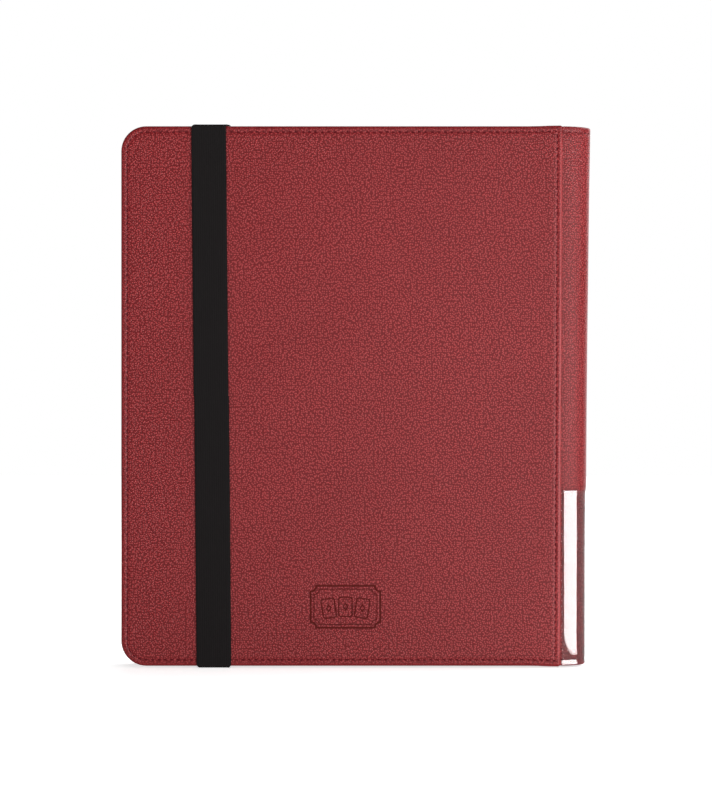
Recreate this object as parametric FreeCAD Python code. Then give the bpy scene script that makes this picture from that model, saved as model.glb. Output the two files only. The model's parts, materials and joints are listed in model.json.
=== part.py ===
"""A strap-closed trading card binder, standing upright on its bottom edges.

Millimetres. +Z is up, the rounded spine is at +X and the back cover faces -Y. The origin is the
middle of the footprint, at the lowest point of the strap. Each separate piece of the real binder
is written to its own file.
"""
import FreeCAD
import Part

import math
import os

from FreeCAD import Vector

# Covers
cover_height = 310.0  # top edge to bottom edge
cover_width = 252.0  # fore edge to crease
cover_corner_radius = 14.4  # the two corners at the fore edge
leather_thickness = 0.8
board_thickness = 2.6
lining_thickness = 0.6
turn_in_width = 10.0  # leather folded over onto the inner face

# Spine
spine_step = 0.8  # the spine's leather lies this far below the outer faces of the covers
stiffener_thickness = 1.4
stiffener_end_inset = 3.0  # from the top and bottom edges
spine_lining_thickness = 0.5
crease_gap = 0.4  # between a cover's edge and the spine's edge

# Label pocket on the outside of the spine
pocket_height = 99.8
pocket_half_angle = 84.0  # degrees each side of the middle of the spine
pocket_film_thickness = 0.3
pocket_slot = 0.4  # room for a label card
pocket_weld_width = 2.0
pocket_edge_inset = 0.8  # above the bottom edge of the spine

# Page block
leaf_count = 20
leaf_pitch = 1.15
leaf_end_margin = 9.0  # cover past the leaves, above and below
leaf_fore_margin = 16.0  # cover past the leaves, at the fore edge
leaf_sheet_thickness = 0.35
leaf_root_gap = 3.0  # hinge line to the sheet
leaf_block_clearance = 0.5  # between the block of leaves and each cover
binding_margin = 14.0  # hinge line to the first column of pockets
pocket_panel_thickness = 0.25
pocket_panel_border = 2.0  # sheet left bare round the pockets
leaf_hinge_clearance = 2.0  # between the hinge lines and the inner face of an opened cover
binding_thickness = 0.8
binding_stand = 0.5  # between the leaves' hinge line and the binding
binding_inset = 0.5  # from each side of the block of leaves

# Strap
strap_width = 20.0
strap_thickness = 1.1
strap_stand = 0.3  # between the free span and the leather
strap_centre_inset = 53.0  # from the fore edge
strap_overlap = 4.0  # of each anchor onto the outside of the cover
strap_tail_clearance = 1.0  # between each anchor's inner tail and the leaves

cover_thickness = leather_thickness + board_thickness + lining_thickness
wall_thickness = leather_thickness + stiffener_thickness + spine_lining_thickness
leaf_block = leaf_count * leaf_pitch
closed_thickness = 2 * (cover_thickness + leaf_block_clearance) + leaf_block
spine_radius = closed_thickness / 2 - spine_step
leaf_hinge_inset = cover_thickness + leaf_hinge_clearance
leaf_height = cover_height - 2 * leaf_end_margin
leaf_width = cover_width - leaf_hinge_inset - leaf_fore_margin
binding_half_width = leaf_block / 2 - binding_inset
strap_tail = leaf_end_margin - strap_tail_clearance
spine_inner_radius = spine_radius - wall_thickness
pocket_outer_radius = spine_radius + pocket_slot + pocket_film_thickness

# Places
bottom_z = strap_thickness
top_z = bottom_z + cover_height
crease_x = (cover_width + pocket_outer_radius) / 2 - pocket_outer_radius
fore_edge_x = crease_x - cover_width
middle_y = (strap_stand + strap_thickness) / 2
back_face_y = middle_y - closed_thickness / 2
crease_y = middle_y - spine_radius
hinge_x = crease_x - leaf_hinge_inset
strap_x = fore_edge_x + strap_centre_inset


def block(x0, x1, y0, y1, z0, z1):
    """A box between two corners."""
    return Part.makeBox(x1 - x0, y1 - y0, z1 - z0, Vector(x0, y0, z0))


def panel(inset, y0, y1, crease_inset=0.0):
    """A plate of the cover's outline, drawn in by inset, with its two fore-edge corners rounded."""
    left = fore_edge_x + inset
    right = crease_x - crease_gap - inset - crease_inset
    low = bottom_z + inset
    high = top_z - inset
    r = max(cover_corner_radius - inset, 1.0)
    bend = r * math.sqrt(0.5)
    p = [
        Vector(right, y0, low),
        Vector(left + r, y0, low),
        Vector(left + r - bend, y0, low + r - bend),
        Vector(left, y0, low + r),
        Vector(left, y0, high - r),
        Vector(left + r - bend, y0, high - r + bend),
        Vector(left + r, y0, high),
        Vector(right, y0, high),
    ]
    edges = [
        Part.LineSegment(p[0], p[1]).toShape(),
        Part.Arc(p[1], p[2], p[3]).toShape(),
        Part.LineSegment(p[3], p[4]).toShape(),
        Part.Arc(p[4], p[5], p[6]).toShape(),
        Part.LineSegment(p[6], p[7]).toShape(),
        Part.LineSegment(p[7], p[0]).toShape(),
    ]
    return Part.Face(Part.Wire(edges)).extrude(Vector(0, y1 - y0, 0))


def arch(r0, r1, z0, z1, half_angle=90.0, start_x=0.0):
    """A wall of the rounded spine between two radii, up to half_angle each side of its middle."""
    a = math.radians(half_angle)
    ends = []
    for r in (r0, r1):
        low = Vector(crease_x + r * math.cos(a), middle_y - r * math.sin(a), z0)
        top = Vector(crease_x + r, middle_y, z0)
        high = Vector(crease_x + r * math.cos(a), middle_y + r * math.sin(a), z0)
        ends.append((low, top, high))
    inner, outer = ends
    wire = Part.Wire(
        [
            Part.Arc(*inner).toShape(),
            Part.LineSegment(inner[2], outer[2]).toShape(),
            Part.Arc(*reversed(outer)).toShape(),
            Part.LineSegment(outer[0], inner[0]).toShape(),
        ]
    )
    wall = Part.Face(wire).extrude(Vector(0, 0, z1 - z0))
    if start_x:
        reach = 2 * r1
        wall = wall.cut(block(crease_x - reach, crease_x + start_x, middle_y - reach,
                              middle_y + reach, z0 - 1, z1 + 1))
    return wall


def to_front(shape):
    """The same piece on the other side of the binder's middle plane."""
    return shape.mirror(Vector(0, middle_y, 0), Vector(0, 1, 0))


def cover_board():
    """Stiff grey board, wrapped all round by the leather."""
    y0 = back_face_y + leather_thickness
    return panel(leather_thickness, y0, y0 + board_thickness)


def cover_leather():
    """The outer skin: a tray round the board, with its edges turned in over the inner face."""
    outer = panel(0.0, back_face_y, back_face_y + cover_thickness)
    y0 = back_face_y + leather_thickness + board_thickness
    window = panel(turn_in_width, y0 - 0.01, y0 + lining_thickness + 1)
    return outer.cut(cover_board()).cut(window)


def cover_lining():
    """The inner sheet, inlaid between the turned-in edges."""
    y0 = back_face_y + leather_thickness + board_thickness
    return panel(turn_in_width, y0, y0 + lining_thickness)


def spine_leather():
    """The outer skin of the spine, folded in over both ends of the stiffener."""
    start = crease_gap / 2
    inner = spine_radius - leather_thickness
    skin = arch(inner, spine_radius, bottom_z, top_z, start_x=start)
    lip = stiffener_end_inset
    fold = inner - stiffener_thickness
    for z in (bottom_z, top_z - lip):
        skin = skin.fuse(arch(fold, inner, z, z + lip, start_x=start))
    return skin.removeSplitter()


def spine_stiffener():
    """A bent plastic sheet that keeps the spine round."""
    inner = spine_inner_radius + spine_lining_thickness
    return arch(inner, inner + stiffener_thickness, bottom_z + stiffener_end_inset,
                top_z - stiffener_end_inset, start_x=crease_gap / 2)


def spine_lining():
    """The cloth on the inside of the spine."""
    return arch(spine_inner_radius, spine_inner_radius + spine_lining_thickness, bottom_z, top_z,
                start_x=crease_gap / 2)


def page_binding():
    """A folded strip that the leaves are sewn to, with both sides fixed to the spine."""
    web_x = hinge_x + binding_stand
    z0 = leaf_z()
    z1 = z0 + leaf_height
    w = binding_half_width
    whole = block(web_x, crease_x + spine_radius, middle_y - w, middle_y + w, z0, z1)
    t = binding_thickness
    inside = block(web_x + t, crease_x + spine_radius + 1, middle_y - w + t, middle_y + w - t,
                   z0 - 1, z1 + 1)
    drum = Part.makeCylinder(spine_inner_radius, z1 - z0, Vector(crease_x, middle_y, z0))
    stub = block(web_x, crease_x, middle_y - w, middle_y + w, z0, z1)
    return whole.cut(inside).common(drum.fuse(stub)).removeSplitter()


def label_pocket():
    """Clear film over the lower spine, welded down both sides and along the bottom, open above."""
    z0 = bottom_z + pocket_edge_inset
    z1 = z0 + pocket_height
    window = spine_radius + pocket_slot
    film = arch(spine_radius, pocket_outer_radius, z0, z1, pocket_half_angle)
    weld_angle = pocket_half_angle - math.degrees(pocket_weld_width / spine_radius)
    slot = arch(spine_radius - 0.1, window, z0 + pocket_weld_width, z1 + 1, weld_angle)
    return film.cut(slot)


def leaf_z():
    """The bottom edge of the leaves, which are centred on the cover's height."""
    return bottom_z + (cover_height - leaf_height) / 2


def leaf_y(index):
    """The middle plane of one leaf, counted from the back cover."""
    return middle_y + leaf_pitch * (index - (leaf_count - 1) / 2)


def leaf_sheet(index):
    """The opaque sheet in the middle of one leaf."""
    y = leaf_y(index)
    t = leaf_sheet_thickness / 2
    z0 = leaf_z()
    return block(hinge_x - leaf_width, hinge_x - leaf_root_gap, y - t, y + t, z0, z0 + leaf_height)


def leaf_pockets(index):
    """The two clear pocket panels of one leaf, one on each face of its sheet."""
    y = leaf_y(index)
    t = leaf_sheet_thickness / 2
    x0 = hinge_x - leaf_width + pocket_panel_border
    x1 = hinge_x - binding_margin
    z0 = leaf_z() + pocket_panel_border
    z1 = leaf_z() + leaf_height - pocket_panel_border
    far = t + pocket_panel_thickness
    return Part.makeCompound(
        [block(x0, x1, y - far, y - t, z0, z1), block(x0, x1, y + t, y + far, z0, z1)]
    )


def strap_anchor(at_top):
    """One sewn end of the strap, folded over the edge of the back cover."""
    x0 = strap_x - strap_width / 2
    x1 = strap_x + strap_width / 2
    outer_y = back_face_y - strap_thickness
    inner_y = back_face_y + cover_thickness
    if at_top:
        fold = block(x0, x1, outer_y, inner_y + strap_thickness, top_z, top_z + strap_thickness)
        outside = block(x0, x1, outer_y, back_face_y, top_z - strap_overlap, top_z)
        tail = block(x0, x1, inner_y, inner_y + strap_thickness, top_z - strap_tail, top_z)
    else:
        fold = block(x0, x1, outer_y, inner_y + strap_thickness, bottom_z - strap_thickness,
                     bottom_z)
        outside = block(x0, x1, outer_y, back_face_y, bottom_z, bottom_z + strap_overlap)
        tail = block(x0, x1, inner_y, inner_y + strap_thickness, bottom_z, bottom_z + strap_tail)
    return fold.fuse([outside, tail]).removeSplitter()


def strap_span():
    """The free length of the strap, across the outside of the back cover."""
    y1 = back_face_y - strap_stand
    return block(strap_x - strap_width / 2, strap_x + strap_width / 2, y1 - strap_thickness, y1,
                 bottom_z + strap_overlap, top_z - strap_overlap)


def pieces():
    """Every node's name with its shape."""
    made = {
        "back_board": cover_board(),
        "back_leatherette": cover_leather(),
        "back_lining": cover_lining(),
        "front_board": to_front(cover_board()),
        "front_leatherette": to_front(cover_leather()),
        "front_lining": to_front(cover_lining()),
        "spine_leatherette": spine_leather(),
        "spine_stiffener": spine_stiffener(),
        "spine_lining": spine_lining(),
        "page_binding": page_binding(),
        "label_pocket": label_pocket(),
        "strap_top_anchor": strap_anchor(True),
        "strap_bottom_anchor": strap_anchor(False),
        "strap_span": strap_span(),
    }
    for index in range(leaf_count):
        made[f"leaf_{index + 1:02d}_sheet"] = leaf_sheet(index)
        made[f"leaf_{index + 1:02d}_pockets"] = leaf_pockets(index)
    return made


os.makedirs("parts", exist_ok=True)
for name, shape in pieces().items():
    shape.exportStep(f"parts/{name}.step")
    box = shape.BoundBox
    print(
        f"{name}: {len(shape.Solids)} solid(s), valid {shape.isValid()}, {shape.Volume / 1000:.2f} cm3, "
        f"x {box.XMin:.1f}..{box.XMax:.1f}, y {box.YMin:.1f}..{box.YMax:.1f}, "
        f"z {box.ZMin:.1f}..{box.ZMax:.1f}"
    )
print(f"creases at x {crease_x:.3f}, y {crease_y:.3f} and {middle_y + spine_radius:.3f}")
print(f"front face at y {middle_y + closed_thickness / 2:.3f}")
for index in range(leaf_count):
    print(f"leaf {index + 1} hinge at x {hinge_x:.3f}, y {leaf_y(index):.3f}")
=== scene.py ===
# %% [markdown]
# # A stitched card binder
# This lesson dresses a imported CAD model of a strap-closed card binder. The CAD model is a fixed
# frame: it says where every cover, leaf and hinge is. Here each plain solid gets the surface that
# a bookbinder would give it: pebbled leatherette, lockstitch, woven elastic and clear film.

import json
import math

import bmesh
import bpy
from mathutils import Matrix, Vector, noise

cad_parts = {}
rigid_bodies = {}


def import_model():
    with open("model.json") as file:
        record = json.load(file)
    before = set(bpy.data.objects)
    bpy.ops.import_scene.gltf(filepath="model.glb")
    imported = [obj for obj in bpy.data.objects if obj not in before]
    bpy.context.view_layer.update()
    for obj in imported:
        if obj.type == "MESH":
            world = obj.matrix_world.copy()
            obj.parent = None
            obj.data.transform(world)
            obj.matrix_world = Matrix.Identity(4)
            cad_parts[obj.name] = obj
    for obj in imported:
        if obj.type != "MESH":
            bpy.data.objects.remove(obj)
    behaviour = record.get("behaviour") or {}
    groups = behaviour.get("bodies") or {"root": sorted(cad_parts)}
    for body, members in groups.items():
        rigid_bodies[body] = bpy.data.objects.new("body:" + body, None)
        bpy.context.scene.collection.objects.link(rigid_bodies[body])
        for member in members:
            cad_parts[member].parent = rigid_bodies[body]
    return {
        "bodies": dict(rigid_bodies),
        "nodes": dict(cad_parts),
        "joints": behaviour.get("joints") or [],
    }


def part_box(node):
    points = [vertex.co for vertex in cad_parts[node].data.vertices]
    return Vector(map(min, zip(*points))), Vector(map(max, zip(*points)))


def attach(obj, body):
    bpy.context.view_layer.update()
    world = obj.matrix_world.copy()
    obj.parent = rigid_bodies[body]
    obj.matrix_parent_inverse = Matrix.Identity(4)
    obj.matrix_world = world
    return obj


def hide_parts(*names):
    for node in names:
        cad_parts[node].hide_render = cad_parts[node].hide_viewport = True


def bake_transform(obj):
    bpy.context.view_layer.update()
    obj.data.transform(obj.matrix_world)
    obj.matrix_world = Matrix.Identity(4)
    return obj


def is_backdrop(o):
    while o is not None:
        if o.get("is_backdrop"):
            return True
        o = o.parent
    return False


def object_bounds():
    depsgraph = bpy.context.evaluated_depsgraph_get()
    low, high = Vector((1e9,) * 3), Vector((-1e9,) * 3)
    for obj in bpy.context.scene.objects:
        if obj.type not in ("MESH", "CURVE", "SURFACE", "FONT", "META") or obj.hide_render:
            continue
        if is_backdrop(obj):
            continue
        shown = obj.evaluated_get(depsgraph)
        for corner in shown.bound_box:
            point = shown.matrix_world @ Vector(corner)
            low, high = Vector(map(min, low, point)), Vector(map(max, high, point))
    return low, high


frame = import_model()
cad_box = [list(corner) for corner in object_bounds()]
MM = 0.001

# %% [markdown]
# Every size comes from the frame, so the looks follow the CAD model if its sizes change. The two
# creases are the hinge lines of the spine and of the front cover. The rounded spine is half a
# drum whose diameter is the distance between them.

# %% Measure the frame
joint_place = {j["name"]: Vector(j["pos_m"]) for j in frame["joints"] if "pos_m" in j}
back_lo, back_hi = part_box("back_leatherette")
front_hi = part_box("front_leatherette")[1]
crease_x = joint_place["spine_hinge"].x
back_crease_y = joint_place["spine_hinge"].y
front_crease_y = joint_place["front_cover_hinge"].y
middle_y = (back_crease_y + front_crease_y) / 2
spine_radius = (front_crease_y - back_crease_y) / 2
bottom_z, top_z = back_lo.z, back_hi.z
leaf_names = sorted(b for b in frame["bodies"] if b.startswith("leaf_"))
print(f"crease x {crease_x:.4f}, spine radius {spine_radius:.4f}, leaves {len(leaf_names)}")

# %% [markdown]
# ## Small helpers
# Most soft shapes here are rows of points joined by quads. One helper makes a mesh from such
# rows, and others give it numbers and a flat map, or make the nodes of a material.

# %% Mesh helpers
def add_piece(name, data):
    """An object in the scene for a mesh, a light or a camera."""
    piece = bpy.data.objects.new(name, data)
    bpy.context.scene.collection.objects.link(piece)
    return piece


def face_outwards(mesh, weld=None):
    """Turns a mesh's normals outward, and joins points that are closer than weld."""
    work = bmesh.new()
    work.from_mesh(mesh)
    if weld:
        bmesh.ops.remove_doubles(work, verts=work.verts, dist=weld)
    bmesh.ops.recalc_face_normals(work, faces=work.faces)
    work.to_mesh(mesh)
    work.free()


def mesh_piece(name, verts, faces, material, smooth_angle=40):
    """A mesh object from points and faces, with outward normals and smooth shading."""
    mesh = bpy.data.meshes.new(name)
    mesh.from_pydata([tuple(v) for v in verts], [], faces)
    face_outwards(mesh)
    mesh.shade_smooth()
    mesh.set_sharp_from_angle(angle=math.radians(smooth_angle))
    mesh.materials.append(material)
    return add_piece(name, mesh)


def made_by_modifiers(piece):
    """The plain mesh that a piece's modifiers make."""
    return bpy.data.meshes.new_from_object(
        piece.evaluated_get(bpy.context.evaluated_depsgraph_get()))


def loft(rings, capped=True):
    """Points and faces of a surface through closed rings of equally many points."""
    count = len(rings[0])
    verts = [p for ring in rings for p in ring]
    faces = []
    for r in range(len(rings) - 1):
        for i in range(count):
            j = (i + 1) % count
            faces.append((r * count + i, r * count + j, (r + 1) * count + j, (r + 1) * count + i))
    if capped:
        faces.append(tuple(range(count)))
        faces.append(tuple(range((len(rings) - 1) * count, len(rings) * count)))
    return verts, faces


def arc(cx, cz, r, start, end, steps):
    """Points on part of a circle, between two angles in degrees."""
    angles = [math.radians(start + (end - start) * i / steps) for i in range(steps + 1)]
    return [(cx + r * math.cos(a), cz + r * math.sin(a)) for a in angles]


def add_values(piece, name, values):
    """A number for each point of a piece, for its material to read."""
    attribute = piece.data.attributes.new(name, "FLOAT", "POINT")
    attribute.data.foreach_set("value", values)


def add_uv(piece, places):
    """A flat map for a piece, in metres, from one place for each of its points."""
    layer = piece.data.uv_layers.new(name="UVMap")
    for loop in piece.data.loops:
        layer.data[loop.index].uv = places[loop.vertex_index]


# %% Node helpers
def add_node(tree, kind, settings=None, **inputs):
    """A node with its settings and inputs. An input is a value or another node's output."""
    node = tree.nodes.new(kind)
    for key, value in (settings or {}).items():
        setattr(node, key, value)
    for key, value in inputs.items():
        socket = node.inputs[int(key[1:])] if key[0] == "i" and key[1:].isdigit() else node.inputs[key]
        if isinstance(value, bpy.types.NodeSocket):
            tree.links.new(value, socket)
        else:
            socket.default_value = value
    return node


def sums(tree, operation, a, b=0.0, c=0.0):
    """The output of one Math node."""
    return add_node(tree, "ShaderNodeMath", {"operation": operation}, i0=a, i1=b, i2=c).outputs[0]


def wave(tree, value, pitch):
    """A sine wave of some pitch along a value."""
    return sums(tree, "SINE", sums(tree, "MULTIPLY", value, 2 * math.pi / pitch))


def new_material(name, base, roughness, **sockets):
    """A material whose one shader has plain values on its own sockets."""
    material = bpy.data.materials.new(name)
    material.use_nodes = True
    shader = material.node_tree.nodes["Principled BSDF"]
    shader.inputs["Base Color"].default_value = (*base, 1)
    shader.inputs["Roughness"].default_value = roughness
    for key, value in sockets.items():
        shader.inputs[key.replace("_", " ")].default_value = value
    return material, material.node_tree, shader


def coordinates(tree, kind="Object"):
    """Where a point of the surface is: on its object, or on its flat map."""
    return tree.nodes.new("ShaderNodeTexCoord").outputs[kind]


def cloudy(tree, place, scale, detail, roughness=0.5, output="Fac"):
    """Soft noise at some place."""
    return add_node(tree, "ShaderNodeTexNoise", Vector=place, Scale=scale, Detail=detail,
                    Roughness=roughness).outputs[output]


def ease(tree, value, low, high, at_low, at_high):
    """A number that goes smoothly from at_low to at_high as a value goes from low to high."""
    return add_node(tree, "ShaderNodeMapRange", {"interpolation_type": "SMOOTHSTEP"},
                    i0=value, i1=low, i2=high, i3=at_low, i4=at_high).outputs[0]


def two_tones(tree, shader, tone, colours, shares=(1, 1)):
    """Colours a shader between two colours, each lightened or darkened by its share."""
    dark, light = [tuple(min(c * k, 1) for c in colour) for colour, k in zip(colours, shares)]
    mixed = add_node(tree, "ShaderNodeMix", {"data_type": "RGBA"}, Factor=tone,
                     i6=(*dark, 1), i7=(*light, 1)).outputs[2]
    tree.links.new(mixed, shader.inputs["Base Color"])


def add_bump(tree, shader, height, strength, distance):
    """Relief on a shader's normal from a height."""
    bump = add_node(tree, "ShaderNodeBump", Height=height, Strength=strength, Distance=distance)
    tree.links.new(bump.outputs["Normal"], shader.inputs["Normal"])


# %% [markdown]
# ## Leatherette
# The covers are polyurethane leather: a coated cloth embossed with a fine pebble grain. Each
# pebble is a cell of a Voronoi pattern a little over a millimetre wide. A solid pattern would
# slice its cells at random depths and look blotchy, so the cells are flat and lie on the skin's
# own map, which is in metres and runs on round each fold. The crests are lighter than the
# valleys: partly the grain's own tone, partly a painted highlight of the glints the crests catch.
# Where a folded edge is pulled tight the grain flattens, so each point says how tight it is, and
# how much painted highlight it gets: the lip beside the crease is painted paler where it catches
# the light, and is a little glossier.

# %% Leatherette material
PEBBLE = 1.24 * MM
PORE = 0.62 * MM


def leatherette(name, valley, flank, crest_highlight, roughness):
    """Pebbled leather whose colour runs from its valleys over their flanks to its crests, which carry a
    painted highlight.
    """
    material, tree, shader = new_material(name, flank, roughness)
    shader.inputs["Specular IOR Level"].default_value = 0.26
    place = coordinates(tree)
    wander = cloudy(tree, place, 240.0, 1.0, output="Color")
    shift = add_node(tree, "ShaderNodeVectorMath", {"operation": "MULTIPLY_ADD"},
                     i0=wander, i1=(0.4 * MM,) * 3,
                     i2=coordinates(tree, "UV")).outputs[0]
    flat_cells = {"feature": "F1", "voronoi_dimensions": "2D"}
    pebble = add_node(tree, "ShaderNodeTexVoronoi", flat_cells, Vector=shift,
                      Scale=1 / PEBBLE, Randomness=0.85).outputs["Distance"]
    pore = add_node(tree, "ShaderNodeTexVoronoi", flat_cells, Vector=shift,
                    Scale=1 / PORE).outputs["Distance"]
    dome = ease(tree, pebble, 0.0, 0.58, 1.0, 0.0)
    speck = ease(tree, pore, 0.1, 0.8, 1.0, 0.0)
    height = sums(tree, "MULTIPLY_ADD", speck, 0.25, sums(tree, "MULTIPLY", dome, 0.75))
    tight = add_node(tree, "ShaderNodeAttribute", {"attribute_name": "tight"}).outputs["Fac"]
    lip_highlight = add_node(tree, "ShaderNodeAttribute", {"attribute_name": "lip_highlight"}).outputs["Fac"]
    relief = sums(tree, "MULTIPLY", height, sums(tree, "MULTIPLY_ADD", tight, -0.85, 1.0))
    cloud = cloudy(tree, place, 14.0, 7.0, 0.62)
    level = sums(tree, "MULTIPLY_ADD", cloud, 0.24, sums(tree, "MULTIPLY", relief, 1.15))
    level = sums(tree, "MULTIPLY_ADD", tight, 0.42, level)
    # Painted highlight: the lip beside the crease is painted paler where it catches the light.
    level = sums(tree, "MULTIPLY_ADD", lip_highlight, 0.26, level)
    # The crest colour is partly a painted highlight of the glints on the pebbles.
    ramp = add_node(tree, "ShaderNodeValToRGB", Fac=level)
    stops = ramp.color_ramp.elements
    stops[0].position, stops[0].color = 0.08, (*valley, 1)
    stops[1].position, stops[1].color = 1.0, (*crest_highlight, 1)
    stops.new(0.52).color = (*flank, 1)
    tree.links.new(ramp.outputs["Color"], shader.inputs["Base Color"])
    rough = sums(tree, "MULTIPLY_ADD", height, -0.14, roughness + 0.08)
    rough = sums(tree, "MULTIPLY_ADD", lip_highlight, -0.08, rough)
    tree.links.new(rough, shader.inputs["Roughness"])
    add_bump(tree, shader, relief, 0.50, 0.30 * MM)
    return material


# The last colour is the crests' colour with a painted highlight in it.
red_leather = leatherette("red_leatherette", (0.108, 0.0012, 0.0026),
                          (0.130, 0.0033, 0.0053), (0.318, 0.034, 0.036), 0.39)
print("made", red_leather.name)

# %% [markdown]
# ## Thread, cloth, elastic and film
# The thread is a dark red polyester. The needle holes it sinks into are nearly brown beads of
# painted shade. The lining is a black woven cloth. The elastic is knitted from covered rubber, so
# it has fine ribs along its length. The film is clear vinyl: a plain transmissive shader with a soft
# gloss.

# %% Other materials
def woven(name, colour, pitch, roughness, depth, sheen=0.15):
    """A plain weave on object coordinates: two crossed waves, one for each set of threads."""
    material, tree, shader = new_material(name, colour, roughness, Sheen_Weight=sheen)
    place = coordinates(tree)
    axes = add_node(tree, "ShaderNodeSeparateXYZ", Vector=place)
    warp, weft = wave(tree, axes.outputs["X"], pitch), wave(tree, axes.outputs["Z"], pitch)
    height = sums(tree, "MULTIPLY_ADD", sums(tree, "MULTIPLY", warp, weft), 0.5, 0.5)
    fluff = cloudy(tree, place, 700.0, 3.0)
    tone = sums(tree, "MULTIPLY_ADD", fluff, 0.5, sums(tree, "MULTIPLY", height, 0.5))
    two_tones(tree, shader, tone, (colour, colour), (0.45, 1.7))
    add_bump(tree, shader, height, 0.6, depth)
    return material


def elastic():
    """Ribs along the strap and a finer pick across it, on the strap's own UV map, in metres."""
    material, tree, shader = new_material("black_elastic", (0.0090, 0.0080, 0.0080), 0.85)
    shader.inputs["Specular IOR Level"].default_value = 0.06
    axes = add_node(tree, "ShaderNodeSeparateXYZ", Vector=coordinates(tree, "UV"))
    rib, pick = wave(tree, axes.outputs["X"], 1.25 * MM), wave(tree, axes.outputs["Y"], 0.62 * MM)
    weave = sums(tree, "MULTIPLY_ADD", rib, 0.6, sums(tree, "MULTIPLY", pick, 0.4))
    tone = sums(tree, "MULTIPLY_ADD", weave, 0.3, 0.5)
    two_tones(tree, shader, tone, ((0.0062, 0.0055, 0.0055), (0.0112, 0.0096, 0.0098)))
    add_bump(tree, shader, weave, 0.35, 0.12 * MM)
    return material


def clear_film(name, tint, roughness, ior):
    """Clear vinyl with faint waves, which break up what it reflects."""
    material, tree, shader = new_material(name, tint, roughness, IOR=ior, Transmission_Weight=1.0)
    add_bump(tree, shader, cloudy(tree, coordinates(tree), 22.0, 1.0), 0.12, 0.6 * MM)
    return material


def speckled(name, colour, roughness, scale, depth, gloss=0.3):
    """A moulded or cast finish: even colour with fine grain."""
    material, tree, shader = new_material(name, colour, roughness)
    shader.inputs["Specular IOR Level"].default_value = gloss
    grain = cloudy(tree, coordinates(tree), scale, 4.0)
    two_tones(tree, shader, grain, (colour, colour), (0.8, 1.2))
    add_bump(tree, shader, grain, 0.3, depth)
    return material


thread_red = speckled("dark_red_thread", (0.075, 0.004, 0.007), 0.7, 2500.0, 0.05 * MM, 0.1)
# The needle holes are dark beads of painted shade.
needle_hole_shade = speckled("needle_hole_shade", (0.030, 0.002, 0.003), 0.9, 2500.0, 0.02 * MM, 0.02)
pressed_leather = speckled("pressed_leather", (0.078, 0.008, 0.007), 0.7, 900.0, 0.08 * MM, 0.08)
lining_cloth = woven("lining_cloth", (0.020, 0.020, 0.022), 0.9 * MM, 0.85, 0.12 * MM)
binding_cloth = woven("binding_cloth", (0.024, 0.024, 0.026), 0.7 * MM, 0.85, 0.15 * MM)
black_elastic = elastic()
label_film = clear_film("clear_film", (0.995, 0.985, 0.985), 0.04, 1.53)
pocket_film = clear_film("pocket_film", (0.90, 0.91, 0.93), 0.12, 1.46)
leaf_black = speckled("leaf_black", (0.018, 0.018, 0.020), 0.42, 1600.0, 0.06 * MM)
stiffener_grey = speckled("stiffener_grey", (0.05, 0.05, 0.055), 0.6, 1400.0, 0.05 * MM)
grey_board = speckled("grey_board", (0.33, 0.31, 0.28), 0.9, 1100.0, 0.1 * MM)
print("materials:", len(bpy.data.materials))

# %% [markdown]
# ## Camera and light
# The camera is a long lens a good way off, square to the back cover, as for a catalogue. A broad
# panel stands on the spine's side and runs round towards the camera. It gives the rounded spine
# its highlight and shows as one clean white stripe in the clear film. The other panels are dim:
# they lift the covers evenly and draw the edges, and a binder needs no more than that.

# %% Camera
VIEW_DISTANCE = 1.6
VIEW_HEIGHT = 0.4592  # what the frame's long side covers at the back cover
CAMERA_X = 0.9 * MM
CAMERA_DROP = 2.3 * MM  # below the middle of the cover
camera = add_piece("camera", bpy.data.cameras.new("camera"))
camera.data.sensor_width = 36.0
camera.data.lens = camera.data.sensor_width * VIEW_DISTANCE / VIEW_HEIGHT
camera.location = (CAMERA_X, back_lo.y - VIEW_DISTANCE, (bottom_z + top_z) / 2 - CAMERA_DROP)
camera.rotation_euler = (math.radians(90), 0, 0)
bpy.context.scene.camera = camera
bpy.context.scene.view_settings.view_transform = "Standard"
print(f"lens {camera.data.lens:.1f} mm")


# %% Lights
LIGHT_CENTRE = 0.156  # the height that the lights go round


def panel_light(name, place, target, size, strength):
    """A rectangular soft light that faces a point. Strength is its radiance, whatever its size."""
    lamp = bpy.data.lights.new(name, "AREA")
    lamp.shape = "RECTANGLE"
    lamp.size, lamp.size_y = size
    lamp.energy = strength * size[0] * size[1] * math.pi
    light = add_piece(name, lamp)
    light.location = place
    light.rotation_euler = (Vector(target) - Vector(place)).to_track_quat("-Z", "Y").to_euler()
    light.visible_camera = False


def around(azimuth, elevation, distance):
    """A place seen from the binder at an azimuth from the camera's side towards the spine's."""
    a, e = math.radians(azimuth), math.radians(elevation)
    flat = distance * math.cos(e)
    return (flat * math.sin(a), -flat * math.cos(a), LIGHT_CENTRE + distance * math.sin(e))


# Each light: its place, what it faces, its width and height, and its radiance.
panel_light("stripe_panel", around(43, -3.2, 1.5), (0.13, 0, 0.05), (2.1, 0.46), 10.9)
panel_light("key_panel", around(30, 34, 2.0), (0, 0, 0.10), (1.4, 0.9), 0.7)
panel_light("fill_panel", around(-48, 8, 2.2), (0, 0, 0.15), (1.2, 1.2), 0.5)
panel_light("rim_panel", around(145, 4, 1.6), (0.13, 0, 0.15), (0.7, 1.0), 2.2)
panel_light("side_panel", around(112, 42, 1.8), (0.13, 0, 0.10), (1.2, 1.0), 5.5)
panel_light("rear_panel", around(170, 44, 2.2), (0, 0, 0.10), (1.6, 1.2), 2.4)

print("lights:", len(bpy.data.lights))

# %% [markdown]
# ## Floor and sky
# The floor is a sheet of pale paper that fades into the white behind it, so it shines more the
# further it is from the binder. The sky is white to the camera and dim to everything else.
# The floor is hidden from reflections and from what is seen through film, so that it doesn't cut
# the film's stripe short. The sky makes up for it there.

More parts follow.
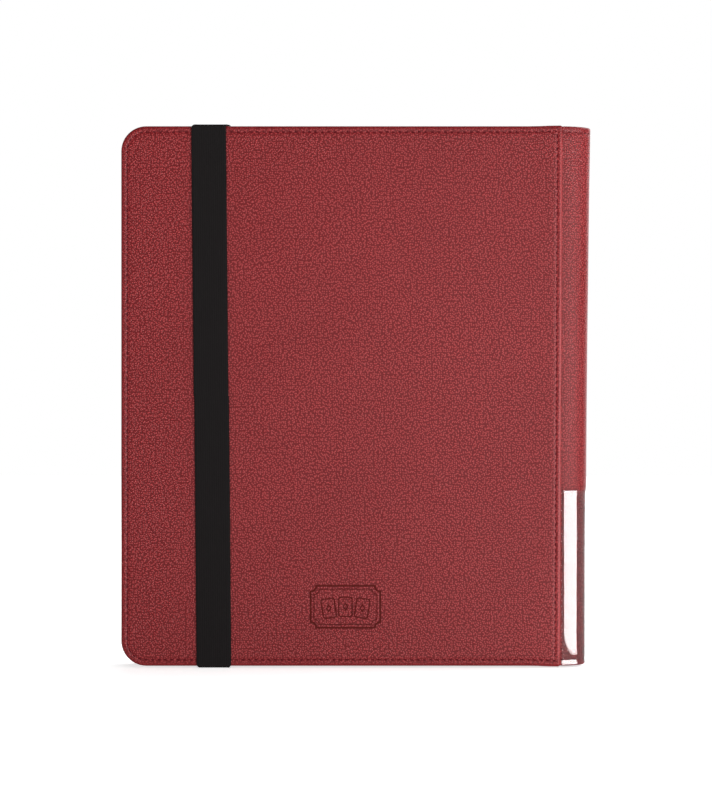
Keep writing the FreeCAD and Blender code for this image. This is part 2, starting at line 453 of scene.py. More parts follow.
# %% Sky
world = bpy.data.worlds.new("studio")
bpy.context.scene.world = world
world.use_nodes = True
sky = world.node_tree
ray = sky.nodes.new("ShaderNodeLightPath").outputs
sky_strength = sums(sky, "MULTIPLY_ADD", ray["Is Camera Ray"], 0.78, 0.22)
sky_strength = sums(sky, "MULTIPLY_ADD", ray["Is Transmission Ray"], 0.25, sky_strength)
sky.links.new(sky_strength, sky.nodes["Background"].inputs["Strength"])
sky.nodes["Background"].inputs["Color"].default_value = (1, 1, 1, 1)

print("sky:", world.name)

# %% Floor
floor_paper, floor_tree, floor_shader = new_material("floor_paper", (0.93, 0.93, 0.93), 0.9,
                                                     Emission_Color=(1, 1, 1, 1))
away = add_node(floor_tree, "ShaderNodeVectorMath", {"operation": "LENGTH"},
                i0=coordinates(floor_tree)).outputs["Value"]
glow = ease(floor_tree, away, 0.10, 1.0, 0.66, 1.0)
floor_tree.links.new(glow, floor_shader.inputs["Emission Strength"])
FLOOR_HALF = 4
corners = [(-1, -1), (1, -1), (1, 1), (-1, 1)]
floor_verts = [(x * FLOOR_HALF, y * FLOOR_HALF, 0) for x, y in corners]
floor = mesh_piece("floor", floor_verts, [(0, 1, 2, 3)], floor_paper)
floor.visible_glossy = False
floor.visible_transmission = False
floor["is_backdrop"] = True
print("floor width:", 2 * FLOOR_HALF, "m")

# %% [markdown]
# ## Covers
# A cover is a board with leatherette pulled over it, folded in and stitched close to the edge.
# The stitching pulls the skin down into a shallow trough and leaves a rounded lip outside it. So
# the skin is lofted through rings that follow the outline at growing distances from the edge,
# each at its own depth. The fold on the inside is a step that the lining fills.

# %% Outline of a cover
CORNER_RADIUS = 14.4 * MM
STITCH_MARGIN = 3.5 * MM
SEAM_SHARE = 0.86  # the spine-side seam is nearer its edge
FLARE = 0.45 * MM  # the covers are a little taller beside the crease
FLARE_WIDTH = 7.0 * MM
# How far the skin swells over the crease, at the bottom and at the top.
LEAN_LOW, LEAN_HIGH = 0.45 * MM, 1.95 * MM
CORNER_STEPS, ACROSS_STEPS, UP_STEPS = 14, 44, 36


def lean(x, z, depth):
    """How far a point beside the crease is carried over it. The inner half of the skin stays back."""
    u = (z - bottom_z) / (top_z - bottom_z)
    near = min(max((x - (back_hi.x - 9.5 * MM)) / (5.0 * MM), 0), 1)
    outer = min(max((3.2 * MM - depth) / (2.0 * MM), 0), 1)
    return (LEAN_LOW + (LEAN_HIGH - LEAN_LOW) * u) * near * near * (3 - 2 * near) * outer


def outline(inset, y):
    """The cover's outline drawn in by inset, as points that always run in the same order."""
    depth = min(abs(y - back_lo.y), abs(y - front_hi.y))
    left, right = back_lo.x + inset, back_hi.x - min(inset, STITCH_MARGIN) * SEAM_SHARE
    right -= max(inset - STITCH_MARGIN, 0)
    low, high = bottom_z + inset, top_z - inset
    round_r = max(CORNER_RADIUS - inset, 0.8 * MM)
    small_r = max(1.2 * MM - inset, 0.3 * MM)
    corners = [(right, low, small_r, -90, 1, -1), (right, high, small_r, 0, 1, 1),
               (left, high, round_r, 90, -1, 1), (left, low, round_r, 180, -1, -1)]
    bends = [arc(cx - sx * r, cz - sz * r, r, start, start + 90, CORNER_STEPS)
             for cx, cz, r, start, sx, sz in corners]
    points = []
    for k, bend in enumerate(bends):
        (x0, z0), (x1, z1) = bend[-1], bends[(k + 1) % 4][0]
        steps = UP_STEPS if k % 2 == 0 else ACROSS_STEPS
        points += bend
        for i in range(1, steps):
            points.append((x0 + (x1 - x0) * i / steps, z0 + (z1 - z0) * i / steps))
    result = []
    middle_z = (bottom_z + top_z) / 2
    for x, z in points:
        near = math.exp(-(((x - (back_hi.x - 3.0 * MM)) / FLARE_WIDTH) ** 2))
        rise = math.copysign(FLARE * near, z - middle_z) * (abs(z - middle_z) > 0.14)
        result.append(Vector((x + lean(x, z, depth), y, z + rise)))
    return result


# %% Skin of a cover
# Each ring is (distance from the edge, depth below the outer face, how tight the grain is).
SKIN_RINGS = [(11.0, 0.0, 0.0), (6.0, 0.0, 0.0), (4.9, 0.01, 0.1), (4.3, 0.08, 0.3), (3.9, 0.20, 0.4),
              (3.5, 0.27, 0.45), (3.1, 0.20, 0.45), (2.7, 0.07, 0.4), (2.1, -0.03, 0.4), (1.5, 0.0, 0.6),
              (1.0, 0.10, 0.8), (0.6, 0.28, 0.9), (0.3, 0.55, 0.9), (0.08, 0.95, 0.9), (0.0, 1.5, 0.9),
              (0.0, 2.6, 0.9), (0.1, 3.3, 0.9), (0.45, 3.75, 0.9), (1.0, 3.96, 0.8), (1.6, 4.0, 0.6),
              (9.6, 4.0, 0.5), (9.9, 3.96, 0.5), (10.0, 3.8, 0.5), (10.0, 3.42, 0.5), (16.0, 3.42, 0.5)]


def cover_skin(name, outer_y, inward):
    """One cover's leatherette. Inward is +1 or -1, the way from its outer face to its lining."""
    rings = [outline(inset * MM, outer_y + inward * depth * MM) for inset, depth, _ in SKIN_RINGS]
    verts, faces = loft(rings)
    piece = mesh_piece(name, verts, faces, red_leather)
    by_crease = []
    for p in outline(0, outer_y):
        from_end = min(p.z - bottom_z, top_z - p.z)
        by_crease.append(min(max(from_end, 0) / (9 * MM), 1) if p.x > back_hi.x - 6 * MM else 0.0)
    add_values(piece, "tight", [tight for _, _, tight in SKIN_RINGS for _ in by_crease])
    # How much painted highlight the lip beside the crease gets, fading out towards the ends.
    add_values(piece, "lip_highlight", [tight * share for _, _, tight in SKIN_RINGS for share in by_crease])
    ways = [(a - b).normalized() for a, b in zip(outline(0, outer_y), outline(2 * MM, outer_y))]
    flat = []
    for (_, depth, _), ring in zip(SKIN_RINGS, rings):
        flat += [(p.x + way.x * depth * MM, p.z + way.z * depth * MM) for p, way in zip(ring, ways)]
    add_uv(piece, flat)
    return piece


back_skin = cover_skin("back_cover_skin", back_lo.y, 1)
front_skin = cover_skin("front_cover_skin", front_hi.y, -1)
print("cover skin faces:", len(back_skin.data.polygons))

# %% [markdown]
# ## Pressed mark
# Low on the back cover is a small blind stamp, pressed with a hot die. Here it is a generic one:
# a ticket-shaped frame with three blank cards in it. A painted line would look flat, so the die's
# lines are cut into the skin with a Boolean, and the cut has the burnt colour of pressed leather.

# %% Die for the pressed mark
MARK_Z = bottom_z + 34.0 * MM
MARK_X = (back_lo.x + back_hi.x) / 2 + 3.0 * MM
MARK_DEPTH = 0.32 * MM
MARK_WIDTH, MARK_HEIGHT = 40.0 * MM, 24.0 * MM
CARD_WIDTH, CARD_HEIGHT, CARD_PITCH = 7.6 * MM, 11.0 * MM, 9.6 * MM


def ticket(width, height, notch, steps=7):
    """An oblong whose four corners are scooped out."""
    points = []
    for sx, sz, start in ((1, 1, 270), (-1, 1, 0), (-1, -1, 90), (1, -1, 180)):
        points += arc(sx * width / 2, sz * height / 2, notch, start, start - 90, steps)
    return points


def card(width, height, corner, tilt, cx, cz, steps=4):
    """A round-cornered card, leaning by some degrees."""
    points = []
    for sx, sz, start in ((1, 1, 0), (-1, 1, 90), (-1, -1, 180), (1, -1, 270)):
        points += arc(sx * (width / 2 - corner), sz * (height / 2 - corner), corner,
                      start, start + 90, steps)
    c, s = math.cos(math.radians(tilt)), math.sin(math.radians(tilt))
    return [(cx + x * c - z * s, cz + x * s + z * c) for x, z in points]


def lozenge(width, height, cx, cz):
    """A small diamond."""
    return [(cx + width / 2, cz), (cx, cz + height / 2), (cx - width / 2, cz), (cx, cz - height / 2)]


def line_prism(points, width):
    """Points and faces of a closed line of some width, as deep as the die reaches."""
    count = len(points)
    sides = [[], []]
    for i, (x, z) in enumerate(points):
        before, after = Vector(points[i - 1]), Vector(points[(i + 1) % count])
        here = Vector((x, z))
        along = ((here - before).normalized() + (after - here).normalized()).normalized()
        turn = max(along.dot((after - here).normalized()), 0.5)
        across = Vector((-along.y, along.x)) * width / 2 / turn
        sides[0].append(here + across)
        sides[1].append(here - across)
    rings = []
    y0, y1 = back_lo.y - 0.4 * MM, back_lo.y + MARK_DEPTH
    for side, y in ((0, y0), (1, y0), (1, y1), (0, y1), (0, y0)):
        rings.append([Vector((MARK_X + p.x, y, MARK_Z + p.y)) for p in sides[side]])
    return loft(rings, capped=False)


def press_mark():
    """Cuts the die's lines into the back cover's skin."""
    lines = [(ticket(MARK_WIDTH, MARK_HEIGHT, 3.2 * MM), 1.1 * MM),
             (ticket(36.2 * MM, 20.2 * MM, 3.0 * MM), 0.5 * MM)]
    for step in (-1, 0, 1):
        cx, cz = step * CARD_PITCH, -abs(step) * 0.8 * MM
        lines.append((card(CARD_WIDTH, CARD_HEIGHT, 1.2 * MM, -9 * step, cx, cz), 0.75 * MM))
        lines.append((lozenge(2.6 * MM, 3.8 * MM, cx, cz), 0.6 * MM))
    verts, faces = [], []
    for points, width in lines:
        more, more_faces = line_prism(points, width)
        faces += [tuple(i + len(verts) for i in f) for f in more_faces]
        verts += more
    die = mesh_piece("die", verts, faces, pressed_leather)
    face_outwards(die.data, weld=1e-7)
    cut = back_skin.modifiers.new("press", "BOOLEAN")
    cut.object = die
    cut.operation = "DIFFERENCE"
    cut.solver = "EXACT"
    cut.material_mode = "TRANSFER"
    pressed = made_by_modifiers(back_skin)
    back_skin.modifiers.clear()
    back_skin.data = pressed
    pressed.set_sharp_from_angle(angle=math.radians(30))
    tight = pressed.attributes["tight"].data
    for vertex in pressed.vertices:
        if abs(vertex.co.x - MARK_X) < 25 * MM and abs(vertex.co.z - MARK_Z) < 18 * MM:
            tight[vertex.index].value = 0.0
    bpy.data.objects.remove(die)


press_mark()
print("pressed skin faces:", len(back_skin.data.polygons), [m.name for m in back_skin.data.materials])

# %% [markdown]
# ## Spine
# The spine's leather is one strip that bulges outward and is a little fuller at the top. It is
# lofted through level rings: each ring runs round the outside of the half drum and back along
# the inside. Near the top and bottom the strip is folded in, so its edge is round.

# %% Skin of the spine
film_lo, film_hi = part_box("label_pocket")
SPINE_STEPS, SPINE_LEVELS = 40, 110
TOP_BULGE = 0.185  # how much fuller the spine is at the top
POCKET_PULL = 0.030  # how far the label pocket draws the spine in
SPINE_WALL = 2.16 * MM
SPINE_GAP = 0.25 * MM  # between the cover's swollen edge and the spine's


def bulge(z):
    """How far the spine stands out at a height, as a share of the half drum's radius."""
    u = max((z - bottom_z) / (top_z - bottom_z), 0)
    under_film = 1 / (1 + math.exp((z - film_hi.z) / (0.7 * MM)))
    return 1.045 + TOP_BULGE * u ** 1.88 - POCKET_PULL * under_film


def on_spine(angle, z, offset=0.0, unevenness=0.10 * MM):
    """A point on the spine's outside, at degrees from its middle, positive towards the front."""
    a = math.radians(angle)
    ripple = unevenness * noise.noise(Vector((angle * 0.04, z * 28.0, 3.7)))
    r = spine_radius + offset + ripple
    return Vector((crease_x + r * math.cos(a) * bulge(z), middle_y + r * math.sin(a), z))


def spine_ring(z, draw_in):
    """A level ring of the spine's wall: along the outside, then back along the inside."""
    edge = math.degrees(math.acos((lean(back_hi.x, z, 0) + SPINE_GAP) / spine_radius))
    angles = [-edge + 2 * edge * i / SPINE_STEPS for i in range(SPINE_STEPS + 1)]
    outside = [on_spine(a, z, -draw_in) for a in angles]
    inside = []
    r = spine_radius - SPINE_WALL
    for a in reversed(angles):
        t = math.radians(a)
        inside.append(Vector((crease_x + r * math.cos(t), middle_y + r * math.sin(t), z)))
    return outside + inside


def spine_levels():
    """(height, how far the skin is drawn in) from the bottom fold to the top one."""
    fold = [(0.0, 1.1), (0.12, 0.6), (0.4, 0.22), (0.9, 0.05), (1.6, 0.0)]
    stitched = [(2.7, 0.0), (3.1, 0.12), (3.5, 0.22), (3.9, 0.12), (4.4, 0.0)]
    ends = fold + stitched
    low = [(bottom_z + h * MM, d * MM) for h, d in ends]
    high = [(top_z - h * MM, d * MM) for h, d in reversed(ends)]
    start, stop = low[-1][0], high[0][0]
    between = [(start + (stop - start) * i / SPINE_LEVELS, 0.0) for i in range(1, SPINE_LEVELS)]
    return low + between + high


spine_rings = [spine_ring(z, draw_in) for z, draw_in in spine_levels()]
spine_skin = mesh_piece("spine_skin", *loft(spine_rings), red_leather)
spine_tight = []
for (z, _), ring in zip(spine_levels(), spine_rings):
    near_end = min(z - bottom_z, top_z - z)
    spine_tight += [0.6 if near_end < 3.0 * MM else 0.0] * len(ring)
add_values(spine_skin, "tight", spine_tight)
spine_flat = []
for ring in spine_rings:
    for i, p in enumerate(ring):
        turn = math.atan2(p.y - middle_y, p.x - crease_x)
        spine_flat.append((0.3 + spine_radius * turn + (0.1 if i > SPINE_STEPS else 0), p.z))
add_uv(spine_skin, spine_flat)
print("spine skin faces:", len(spine_skin.data.polygons))

# %% [markdown]
# ## Crease strips
# Between a cover and the spine the leather is a soft hinge. Each strip starts under the cover's
# lip and ends on the spine.

# %% Crease strips
STRIP_REACH = 3.2 * MM
STRIP_THICKNESS = 0.5 * MM
STRIP_SINK = 0.02 * MM  # how far the strip lies under the leather


def strip_points(side):
    """Level points of one strip, from under the cover to the spine. Side is -1 at the back."""
    points = []
    r = spine_radius - STRIP_SINK
    for i in range(7):
        points.append((crease_x - STRIP_REACH * (1 - i / 6), middle_y + side * r))
    for i in range(1, 7):
        a = math.radians(90 - 2.0 * i)
        points.append((crease_x + r * math.cos(a), middle_y + side * r * math.sin(a)))
    return points


def crease_strip(name, side):
    """One strip from a cover to the spine."""
    rings = []
    levels = 60
    for k in range(levels + 1):
        z = bottom_z + 0.2 * MM + (top_z - bottom_z - 0.4 * MM) * k / levels
        outer = [Vector((x, y, z)) for x, y in strip_points(side)]
        inner = [Vector((x, y - side * STRIP_THICKNESS, z)) for x, y in reversed(strip_points(side))]
        rings.append(outer + inner)
    piece = mesh_piece(name, *loft(rings), red_leather)
    add_values(piece, "tight", [0.3] * len(piece.data.vertices))
    add_uv(piece, [(0.5 + side * 0.1 + p.x, p.z) for ring in rings for p in ring])
    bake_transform(piece)


crease_strip("back_crease_strip", -1)
crease_strip("front_crease_strip", 1)
print("crease strips made")

# %% [markdown]
# ## Stitches
# A lockstitch row is one stitch repeated along a path, which is what Geometry Nodes are for. The
# tree turns a path into a curve, spaces points along it by the stitch pitch, puts a flattened bead
# on each one, turned along the path, and ends as plain mesh. The same tree makes dark beads at
# the needle holes that the thread is pulled into: painted shade for the holes. The beads sit in
# the trough of the seam.

# %% Stitch tree
def new_tree(name, inputs):
    """A Geometry Nodes tree with inputs of some kinds and one output, and the inputs' sockets."""
    tree = bpy.data.node_groups.new(name, "GeometryNodeTree")
    for label, kind in inputs:
        tree.interface.new_socket(name=label, in_out="INPUT", socket_type="NodeSocket" + kind)
    tree.interface.new_socket(name="Result", in_out="OUTPUT", socket_type="NodeSocketGeometry")
    return tree, tree.nodes.new("NodeGroupInput").outputs


def paint_and_end(tree, placed, material):
    """Makes a tree's instances a plain mesh of one material, which is its result."""
    plain = add_node(tree, "GeometryNodeRealizeInstances", Geometry=placed.outputs[0])
    painted = add_node(tree, "GeometryNodeSetMaterial", Geometry=plain.outputs[0],
                       Material=material)
    tree.links.new(painted.outputs[0], tree.nodes.new("NodeGroupOutput").inputs[0])
    return tree


def stitch_tree(name, pivot):
    """A row of beads along a path. Pivot is the axis that the beads turn about to follow it."""
    numbers = [(label, "Float") for label in ("Pitch", "Length", "Depth", "Width", "Slant")]
    tree, given = new_tree(name, [("Path", "Geometry"), *numbers, ("Material", "Material")])
    curve = add_node(tree, "GeometryNodeMeshToCurve", Mesh=given["Path"])
    spaced = add_node(tree, "GeometryNodeResampleCurve", {"mode": "LENGTH"},
                      Curve=curve.outputs[0], Length=given["Pitch"])
    kept = add_node(tree, "GeometryNodeCaptureAttribute", Geometry=spaced.outputs[0])
    kept.capture_items.new("VECTOR", "Tangent")
    tree.links.new(tree.nodes.new("GeometryNodeInputTangent").outputs[0], kept.inputs["Tangent"])
    points = add_node(tree, "GeometryNodeCurveToPoints", {"mode": "EVALUATED"},
                      Curve=kept.outputs["Geometry"])
    half = [sums(tree, "MULTIPLY", given[label], 0.5) for label in ("Length", "Depth", "Width")]
    size = add_node(tree, "ShaderNodeCombineXYZ", X=half[0], Y=half[1], Z=half[2])
    slant = add_node(tree, "ShaderNodeCombineXYZ", Y=given["Slant"])
    ball = add_node(tree, "GeometryNodeMeshUVSphere", Segments=8, Rings=6, Radius=1.0)
    bead = add_node(tree, "GeometryNodeTransform", Geometry=ball.outputs[0], Scale=size.outputs[0])
    leant = add_node(tree, "GeometryNodeTransform", Geometry=bead.outputs[0],
                     Rotation=slant.outputs[0])
    turned = add_node(tree, "FunctionNodeAlignRotationToVector", {"axis": "X", "pivot_axis": pivot},
                      Vector=kept.outputs["Tangent"])
    vary = add_node(tree, "FunctionNodeRandomValue", {"data_type": "FLOAT"}, i2=0.9, i3=1.08)
    vary.inputs["Seed"].default_value = 7
    placed = add_node(tree, "GeometryNodeInstanceOnPoints", Points=points.outputs["Points"],
                      Instance=leant.outputs[0], Rotation=turned.outputs[0], Scale=vary.outputs[1])
    return paint_and_end(tree, placed, given["Material"])


def grow(name, carrier, tree, values):
    """A plain mesh piece from a tree on a carrier mesh, which is then removed."""
    modifier = carrier.modifiers.new("grow", "NODES")
    modifier.node_group = tree
    sockets = {s.name: s.identifier for s in tree.interface.items_tree if s.in_out == "INPUT"}
    for label, value in values.items():
        modifier[sockets[label]] = value
    carrier.update_tag()
    mesh = made_by_modifiers(carrier)
    bpy.data.objects.remove(carrier)
    mesh.name = name
    mesh.shade_smooth()
    return add_piece(name, mesh)


def path_carrier(points, closed):
    """A mesh of edges along some points."""
    mesh = bpy.data.meshes.new("path")
    edges = [(i, i + 1) for i in range(len(points) - 1)]
    if closed:
        edges.append((len(points) - 1, 0))
    mesh.from_pydata([tuple(p) for p in points], edges, [])
    return add_piece("path", mesh)


# %% Stitch rows
STITCH_PITCH = 3.72 * MM
STITCH_SLANT = math.radians(8)
THREAD = {"Length": 1.7 * MM, "Depth": 0.5 * MM, "Width": 0.72 * MM,
          "Slant": STITCH_SLANT, "Material": thread_red}
# The needle holes: dark beads of painted shade.
HOLE_SHADE = {"Length": 2.2 * MM, "Depth": 0.22 * MM, "Width": 0.95 * MM,
        "Slant": STITCH_SLANT, "Material": needle_hole_shade}
face_rows = stitch_tree("stitch_row_on_a_face", "Y")
round_rows = stitch_tree("stitch_row_round_the_spine", "Z")


def stitch_row(name, points, closed, tree, body, pitch=STITCH_PITCH):
    """A row of thread and the painted shade of its needle holes, joined as one piece on one body."""
    thread = grow(name, path_carrier(points, closed), tree, {"Pitch": pitch, **THREAD})
    hole_shade_piece = grow(name + "_hole_shade", path_carrier(points, closed), tree, {"Pitch": pitch, **HOLE_SHADE})
    work = bmesh.new()
    work.from_mesh(thread.data)
    split = len(work.faces)
    work.from_mesh(hole_shade_piece.data)
    work.faces.ensure_lookup_table()
    for f in work.faces[split:]:
        f.material_index = 1
    work.to_mesh(thread.data)
    work.free()
    thread.data.materials.clear()
    thread.data.materials.append(thread_red)
    thread.data.materials.append(needle_hole_shade)
    bpy.data.objects.remove(hole_shade_piece)
    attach(thread, body)
    return thread


TROUGH = 0.24 * MM
back_row = stitch_row("back_cover_stitches", outline(STITCH_MARGIN, back_lo.y + TROUGH), True,
                      face_rows, "back_cover")
stitch_row("front_cover_stitches", outline(STITCH_MARGIN, front_hi.y - TROUGH), True,
           face_rows, "front_cover")


def spine_path(z, offset):
    """Points from one crease to the other round the spine."""
    return [on_spine(-84 + 168 * i / 80, z, offset) for i in range(81)]


top_path = spine_path(top_z - STITCH_MARGIN, -0.18 * MM)
low_path = spine_path(bottom_z + STITCH_MARGIN, 0.12 * MM)
stitch_row("spine_top_stitches", top_path, False, round_rows, "spine")
stitch_row("spine_bottom_stitches", low_path, False, round_rows, "spine")
print("stitch faces on a cover:", len(back_row.data.polygons))

# %% [markdown]
# ## Label pocket
# Clear film is laid over the lower spine, sewn down along the bottom and welded at both sides,
# and left open above. It stands a little off the leather, and near the bottom row the thread
# pulls it in, which bends what it reflects. It is lofted with its own thickness.

# %% Label pocket
FILM_HALF_ANGLE = 86.0
FILM_STAND = 0.46 * MM
FILM_THICKNESS = 0.22 * MM


def film_stand(angle, z):
    """How far the film stands off the leather. It is pulled in most at the back's lower corner."""
    row = (z - (bottom_z + STITCH_MARGIN)) / MM
    above = max(row, 0)
    weld = 1.8 + 7.0 * math.exp(-above / 35)
    from_side = min(max((FILM_HALF_ANGLE - abs(angle)) / weld, 0), 1)
    pinch = 1 - 0.8 * math.exp(-((row / 0.7) ** 2))
    corner = min(max((-angle - 50) / 28, 0), 1)
    pull = 0.92 * corner * math.exp(-above / 11)
    slack = 0.08 * MM * noise.noise(Vector((angle * 0.03, z * 38.0, 9.1)))
    return 0.08 * MM + (FILM_STAND * pinch * (1 - pull) + slack) * from_side


def film_ring(z):
    steps = 56
    angles = [-FILM_HALF_ANGLE + 2 * FILM_HALF_ANGLE * i / steps for i in range(steps + 1)]
    inside = [on_spine(a, z, film_stand(a, z), 0) for a in angles]
    outside = [on_spine(a, z, film_stand(a, z) + FILM_THICKNESS, 0) for a in reversed(angles)]
    return inside + outside


film_levels = 90
film_rings = []
for k in range(film_levels + 1):
    film_rings.append(film_ring(film_lo.z + (film_hi.z - film_lo.z) * k / film_levels))
label_piece = mesh_piece("label_pocket_film", *loft(film_rings), label_film)
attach(label_piece, "spine")
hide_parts("label_pocket")
print("film faces:", len(label_piece.data.polygons))

# %% [markdown]
# ## Strap
# The strap is flat woven elastic, sewn inside the back cover at both ends and parked across its
# outside. It is modelled directly: a rounded flat section carried along a path that comes up the
# inside, turns over the edge and runs down the face. It lies a little askew at the top, as a
# strap does when it has been slipped back by hand.

# %% Strap
anchor_lo, anchor_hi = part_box("strap_top_anchor")
strap_width = anchor_hi.x - anchor_lo.x
strap_x = (anchor_lo.x + anchor_hi.x) / 2
STRAP_THICKNESS = 1.05 * MM
STRAP_SKEW = 2.75 * MM
NECK = 1.3 * MM  # how far an edge draws in as it turns over the board
TURN_START = 0.6 * MM  # how far inside the cover's edge the strap begins to turn
TAIL = 8.0 * MM  # how much of it is sewn down inside
strap_middle_z = (bottom_z + top_z) / 2


def strap_section():
    """(across, through) of the elastic: flat faces and round, slightly thick edges."""
    half, thick = strap_width / 2, STRAP_THICKNESS / 2
    points = []
    for side in (1, -1):
        for i in range(7):
            a = math.radians(-90 + 180 * i / 6)
            points.append((side * (half - thick + thick * math.cos(a)), side * thick * math.sin(a)))
        for i in range(1, 12):
            points.append((side * (half - thick) * (1 - i / 6), side * thick * 0.93))
    return points


def strap_path(at_top):
    """(place, direction out of the face) from the inner tail to the middle of the back cover."""
    sign = 1 if at_top else -1
    edge = top_z if at_top else bottom_z
    t = STRAP_THICKNESS / 2
    inner_y, outer_y = back_hi.y + t, back_lo.y - t
    tail_z = edge - sign * TAIL
    face_z = edge - sign * TURN_START
    steps = []
    for i in range(6):
        steps.append((inner_y, tail_z + (face_z - tail_z) * i / 5, (0, 1, 0)))
    depth, rise = (inner_y - outer_y) / 2, TURN_START + t * 0.95
    for i in range(1, 14):
        a = math.pi * i / 14
        y = (inner_y + outer_y) / 2 + depth * math.copysign(abs(math.cos(a)) ** 0.6, math.cos(a))
        z = face_z + sign * rise * math.sin(a) ** 0.45
        steps.append((y, z, (0, math.cos(a), sign * math.sin(a))))
    for i in range(61):
        steps.append((outer_y, face_z + (strap_middle_z - face_z) * i / 60, (0, -1, 0)))
    path = []
    for y, z, out in steps:
        u = (z - bottom_z) / (top_z - bottom_z)
        face_share = min(max((inner_y - y) / (inner_y - outer_y), 0), 1)
        skew = -STRAP_SKEW * max(u, 0) ** 1.1 * face_share + (0.3 * MM if not at_top else 0)
        path.append((Vector((strap_x + skew, y, z)), Vector(out)))
    return path


def strap_half(name, at_top):
    """Half of the strap, from its sewn tail to the middle of the cover."""
    section = strap_section()
    path = strap_path(at_top)
    edge = top_z if at_top else bottom_z
    turn_start = abs(edge - strap_middle_z) - 1.2 * MM
    rings = []
    for place, out in path:
        over = min(max((abs(place.z - strap_middle_z) - turn_start) / (2.0 * MM), 0), 1)
        ring = []
        for across, through in section:
            way = -1 if across > 0 else 1
            neck = way * NECK * over * over if way > 0 or not at_top else 0
            ring.append(place + Vector((across + neck, 0, 0)) + out * through)
        rings.append(ring)
    verts, faces = loft(rings)
    piece = mesh_piece(name, verts, faces, black_elastic, 60)
    run = [0.0]
    for (a, _), (b, _) in zip(path, path[1:]):
        run.append(run[-1] + (b - a).length)
    add_uv(piece, [(across, along) for along in run for across, _ in section])
    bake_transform(piece)
    return piece


strap_top = strap_half("strap_upper_half", True)
strap_bottom = strap_half("strap_lower_half", False)
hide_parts("strap_top_anchor", "strap_span")
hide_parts("strap_bottom_anchor")
print("strap faces:", len(strap_top.data.polygons) * 2)

# %% [markdown]
# ## Leaves
# Each leaf is an opaque black sheet, kept from the CAD model, with three columns and three rows
# of clear pockets welded on both faces. A grid of one puffed pocket repeated nine times is again
# a job for Geometry Nodes. One pair of panels is grown and then copied to every leaf. A hem of
# the sheet's own plastic runs from each leaf to the binding.

# %% Pocket tree
def pocket_tree():
    """A panel of pockets in the XZ plane, puffed towards -Y."""
    counts = [(label, "Int") for label in ("Columns", "Rows")]
    labels = ("Column Pitch", "Row Pitch", "Pocket Width", "Pocket Height", "Puff")
    numbers = [(label, "Float") for label in labels]
    tree, given = new_tree("pocket_panel", [("Carrier", "Geometry"), *counts, *numbers,
                                            ("Material", "Material")])
    one = add_node(tree, "GeometryNodeMeshGrid", i0=given["Pocket Width"],
                   i1=given["Pocket Height"], i2=11, i3=13)
    place = add_node(tree, "ShaderNodeSeparateXYZ",
                     Vector=tree.nodes.new("GeometryNodeInputPosition").outputs[0])
    crowns = []
    for axis, span in (("X", "Pocket Width"), ("Y", "Pocket Height")):
        share = sums(tree, "DIVIDE", sums(tree, "MULTIPLY", place.outputs[axis], 2.0), given[span])
        steep = sums(tree, "POWER", sums(tree, "ABSOLUTE", share), 6.0)
        crowns.append(sums(tree, "SUBTRACT", 1.0, steep))
    crown = sums(tree, "MULTIPLY", sums(tree, "MULTIPLY", crowns[0], crowns[1]), given["Puff"])
    lift = add_node(tree, "ShaderNodeCombineXYZ", Z=crown)
    puffed = add_node(tree, "GeometryNodeSetPosition", Geometry=one.outputs[0],
                      Offset=lift.outputs[0])
    quarter = (math.radians(90), 0, 0)
    upright = add_node(tree, "GeometryNodeTransform", Geometry=puffed.outputs[0],
                       Rotation=quarter)
    width = sums(tree, "MULTIPLY", given["Column Pitch"], sums(tree, "SUBTRACT", given["Columns"], 1.0))
    height = sums(tree, "MULTIPLY", given["Row Pitch"], sums(tree, "SUBTRACT", given["Rows"], 1.0))
    grid = add_node(tree, "GeometryNodeMeshGrid", i0=width, i1=height,
                    i2=given["Columns"], i3=given["Rows"])
    stood = add_node(tree, "GeometryNodeTransform", Geometry=grid.outputs[0], Rotation=quarter)
    placed = add_node(tree, "GeometryNodeInstanceOnPoints", Points=stood.outputs[0],
                      Instance=upright.outputs[0])
    return paint_and_end(tree, placed, given["Material"])


# %% Pocket panels
panel_lo, panel_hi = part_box(leaf_names[0] + "_pockets")
sheet_lo, sheet_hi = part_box(leaf_names[0] + "_sheet")
COLUMNS, ROWS = 3, 3
WELD = 1.6 * MM
column_pitch = (panel_hi.x - panel_lo.x) / COLUMNS
row_pitch = (panel_hi.z - panel_lo.z) / ROWS
panel_depth = (panel_hi.y - panel_lo.y - (sheet_hi.y - sheet_lo.y)) / 2
pocket_values = {"Columns": COLUMNS, "Rows": ROWS,
                 "Column Pitch": column_pitch, "Row Pitch": row_pitch,
                 "Pocket Width": column_pitch - WELD, "Pocket Height": row_pitch - WELD,
                 "Puff": panel_depth * 0.7, "Material": pocket_film}
stub = path_carrier([(0, 0, 0), (0, 0, MM)], False)  # the tree needs something to grow on
half_panel = grow("half_panel", stub, pocket_tree(), pocket_values)
print("pockets on one face:", COLUMNS * ROWS, "faces:", len(half_panel.data.polygons))


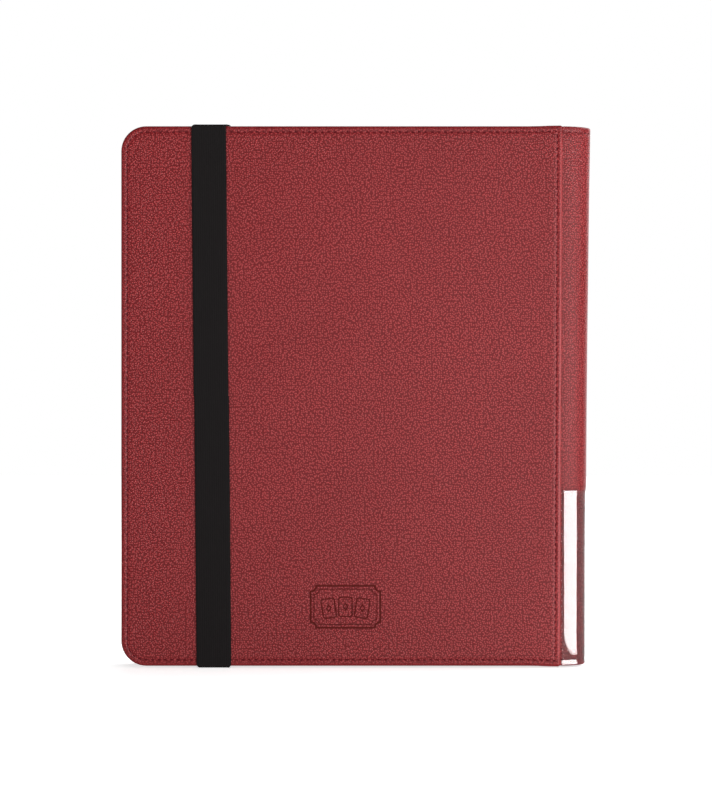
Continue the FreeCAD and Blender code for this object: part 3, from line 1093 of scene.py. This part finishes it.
def leaf_panels(name):
    """Both pocket panels of one leaf, each with the thickness of its film."""
    low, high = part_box(name + "_pockets")
    s_low, s_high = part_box(name + "_sheet")
    centre = (low + high) / 2
    verts, faces = [], []
    skin = half_panel.data
    film = panel_depth * 0.22
    for side in (-1, 1):
        face_y = s_low.y if side < 0 else s_high.y
        for layer in (0.04 * MM, 0.04 * MM + film):
            base = len(verts)
            for v in skin.vertices:
                verts.append((centre.x + v.co.x, face_y + side * (layer - v.co.y), centre.z + v.co.z))
            for p in skin.polygons:
                faces.append(tuple(base + i for i in p.vertices))
        count = len(skin.vertices)
        start = len(verts) - 2 * count
        rim = {}
        for p in skin.polygons:
            for key in p.edge_keys:
                rim[key] = rim.get(key, 0) + 1
        for (a, b), uses in rim.items():
            if uses == 1:
                faces.append((start + a, start + b, start + count + b, start + count + a))
    piece = mesh_piece(name + "_pocket_film", verts, faces, pocket_film, 50)
    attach(piece, name)
    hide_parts(name + "_pockets")


for name in leaf_names:
    leaf_panels(name)
bpy.data.objects.remove(half_panel)
print("leaf panels:", len(leaf_names))


def leaf_hem(name):
    """The bare margin of a leaf, from its sheet to the binding."""
    low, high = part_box(name + "_sheet")
    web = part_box("page_binding")[0].x
    y = (low.y + high.y) / 2
    half = (high.y - low.y) / 2
    start_x, end_x = high.x - 0.5 * MM, web + 0.2 * MM
    rings = []
    for k in range(13):
        x = start_x + (end_x - start_x) * k / 12
        t = half * (0.98 - 0.25 * k / 12)
        rings.append([Vector((x, y - t, low.z)), Vector((x, y + t, low.z)),
                      Vector((x, y + t, high.z)), Vector((x, y - t, high.z))])
    piece = mesh_piece(name + "_hem", *loft(rings), leaf_black, 60)
    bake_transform(piece)


def finish_node(node, material):
    """A better finish on a solid that is kept from the CAD model."""
    mesh = frame["nodes"][node].data
    mesh.materials.clear()
    mesh.materials.append(material)


for name in leaf_names:
    leaf_hem(name)
    finish_node(name + "_sheet", leaf_black)
print("hems:", len(leaf_names))

# %% [markdown]
# ## The rest of the CAD model
# The linings, the stiffener, the boards and the binding have the right shape already, so they
# only get their finish. The skins take the place of the plain leather solids.

# %% Finish the kept nodes and ride the skins
for node, material in (("back_lining", lining_cloth), ("front_lining", lining_cloth),
                       ("spine_lining", lining_cloth), ("page_binding", binding_cloth),
                       ("spine_stiffener", stiffener_grey), ("back_board", grey_board),
                       ("front_board", grey_board)):
    finish_node(node, material)
for piece, body, node in ((back_skin, "back_cover", "back_leatherette"),
                          (front_skin, "front_cover", "front_leatherette"),
                          (spine_skin, "spine", "spine_leatherette")):
    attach(piece, body)
    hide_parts(node)
print("skins ride on their bodies")

# %% Print the CAD and visual sizes
final_box = [list(corner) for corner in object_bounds()]
for label, box in (("CAD", cad_box), ("visual", final_box)):
    print(label, [round((high - low) / MM, 1) for low, high in zip(*box)])
